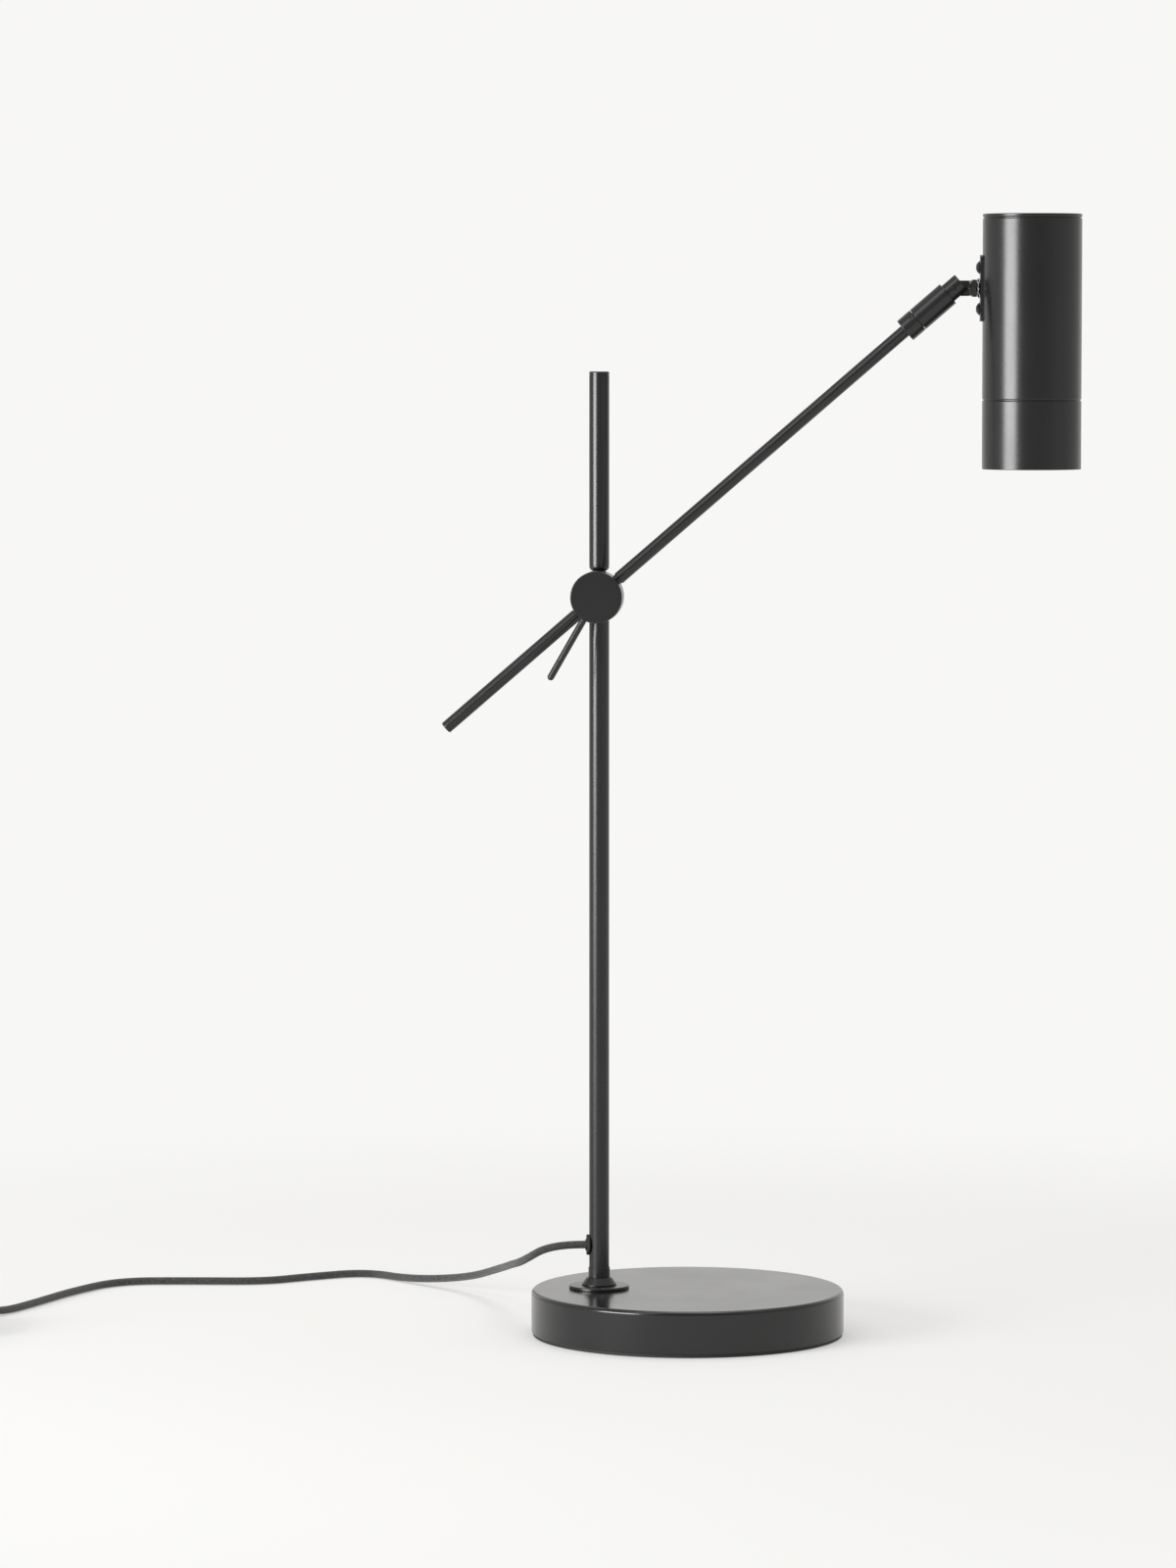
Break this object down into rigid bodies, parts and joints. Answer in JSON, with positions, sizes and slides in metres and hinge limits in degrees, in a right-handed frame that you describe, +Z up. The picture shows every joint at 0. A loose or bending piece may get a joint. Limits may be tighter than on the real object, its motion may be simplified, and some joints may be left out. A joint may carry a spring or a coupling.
{
  "type": "desk lamp",
  "caption": "Desk lamp: weighted round foot, slim post, tilting arm with a tail, clamped by a lever knob at a disc hub, cylinder spot head on a turning knuckle; fabric cord, switch, plug.",
  "frame": {"origin": "centre of the foot's underside, on the table", "axes": "+Z up along the post, +X the way the arm reaches, -Y the side of the hub's locking knob"},
  "size_m": [0.7641, 0.3711, 0.6861],
  "materials": {
    "black_metal": "matte powder coat",
    "black_steel": "blackened fasteners",
    "bright_steel": "zinc plated",
    "nickel": "nickel plated",
    "iron": "rough cast",
    "black_plastic": "fine grain",
    "friction_plastic": "smooth",
    "rubber": "matte",
    "braid": "woven",
    "wire_skin": "smooth",
    "ceramic": "glazed",
    "lamp_white": "moulded",
    "lens": "frosted",
    "terminal_plastic": "moulded"
  },
  "bodies": {
    "stand": {"base_cover": "black_metal", "base_weight": "iron", "base_pad": "rubber", "foot_flange": "black_metal", "foot_cone": "black_metal", "foot_socket": "black_metal", "foot_screw": "bright_steel", "foot_stud": "bright_steel", "foot_nut": "bright_steel", "foot_washer": "bright_steel", "post_lower_tube": "black_metal", "post_plugs": "black_metal", "post_upper_tube": "black_metal", "post_top_cap": "black_metal", "cable_grommet": "rubber", "post_hub": "black_metal", "friction_ring": "friction_plastic", "hub_bolt": "bright_steel", "hub_rear_cap": "black_metal", "post_wire": "wire_skin", "cord_lead": "braid", "cord_link": "braid", "cord_coil": "braid", "cord_end": "braid", "switch_lower_shell": "black_plastic", "switch_upper_shell": "black_plastic", "switch_screws": "bright_steel", "plug_body": "black_plastic", "plug_pins": "nickel"},
    "lock": {"lock_knob": "black_metal", "lock_lever": "black_metal"},
    "arm": {"arm_hub": "black_metal", "arm_nipples": "black_metal", "arm_tube": "black_metal", "tail_tube": "black_metal", "tail_cap": "black_metal", "tail_weight": "bright_steel", "swivel_collar": "black_metal", "collar_screw": "black_steel", "swivel_clip": "bright_steel", "arm_wire": "wire_skin"},
    "sleeve": {"swivel_sleeve": "black_metal", "knuckle_pin": "black_steel"},
    "head": {"swivel_neck": "black_metal", "neck_nuts": "black_steel", "star_washer": "bright_steel", "saddle_plate": "black_metal", "saddle_screws": "black_steel", "head_tube": "black_metal", "head_cap": "black_metal", "head_ring": "black_metal", "lamp_retainer": "black_metal", "lamp_body": "lamp_white", "lamp_lens": "lens", "lamp_holder": "ceramic", "holder_bracket": "bright_steel", "holder_screws": "bright_steel", "terminal_block": "terminal_plastic", "head_wire": "wire_skin"},
    "rocker": {"switch_rocker": "black_plastic"}
  },
  "joints": [
    {"name": "lock_turn", "type": "hinge", "parent": "stand", "child": "lock", "pos_m": [-0.0545, 0, 0.4542], "axis": [0, -1, 0], "range_deg": [0, 75]},
    {"name": "arm_tilt", "type": "hinge", "parent": "stand", "child": "arm", "pos_m": [-0.0545, -0.0148, 0.4542], "axis": [0, 1, 0], "range_deg": [-35, 60]},
    {"name": "sleeve_roll", "type": "hinge", "parent": "arm", "child": "sleeve", "pos_m": [0.1458, -0.0148, 0.62771], "axis": [0.7559, 0, 0.6547], "range_deg": [-165, 165]},
    {"name": "head_tilt", "type": "hinge", "parent": "sleeve", "child": "head", "pos_m": [0.16152, -0.0148, 0.64133], "axis": [0, 1, 0], "range_deg": [-130, 49]},
    {"name": "switch_rock", "type": "hinge", "parent": "stand", "child": "rocker", "pos_m": [-0.448, -0.027, 0.0103], "axis": [1, 0, 0], "range_deg": [-14, 0]}
  ]
}
